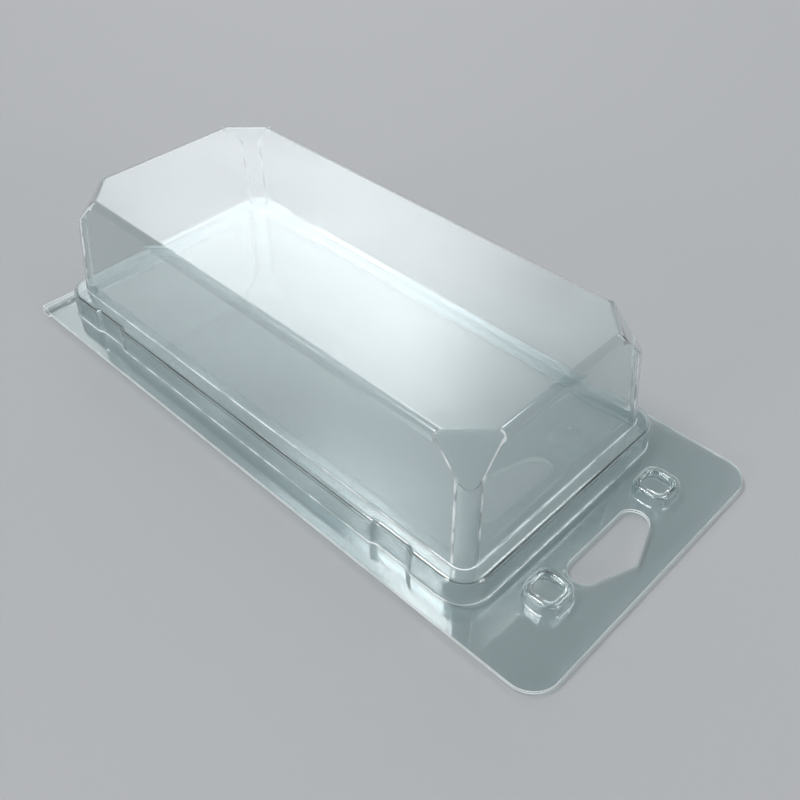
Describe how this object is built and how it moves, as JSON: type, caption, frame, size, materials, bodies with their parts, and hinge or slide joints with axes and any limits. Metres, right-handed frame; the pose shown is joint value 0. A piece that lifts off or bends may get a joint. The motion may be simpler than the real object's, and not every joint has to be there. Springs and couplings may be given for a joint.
{
  "type": "plastic clamshell pack",
  "caption": "Closed clear plastic clamshell blister with a tall chamfered display dome, a stepped plug fit, snap buttons and a hang hole, folded along one short end.",
  "frame": {"origin": "under the middle of the closed pack, at the lowest point of the fold's lower bead", "axes": "+X along the pack from the fold to the header with the hang hole, +Z out of the back towards the top of the dome"},
  "size_m": [0.214, 0.1, 0.0478],
  "materials": {
    "clear_sheet": "clear gloss"
  },
  "bodies": {
    "back": {"back_shell": "clear_sheet"},
    "front": {"front_shell": "clear_sheet"}
  },
  "joints": [
    {"name": "sheet_fold", "type": "hinge", "parent": "back", "child": "front", "pos_m": [-0.10715, 0, 0.00175], "axis": [0, -1, 0], "range_deg": [0, 180]}
  ]
}
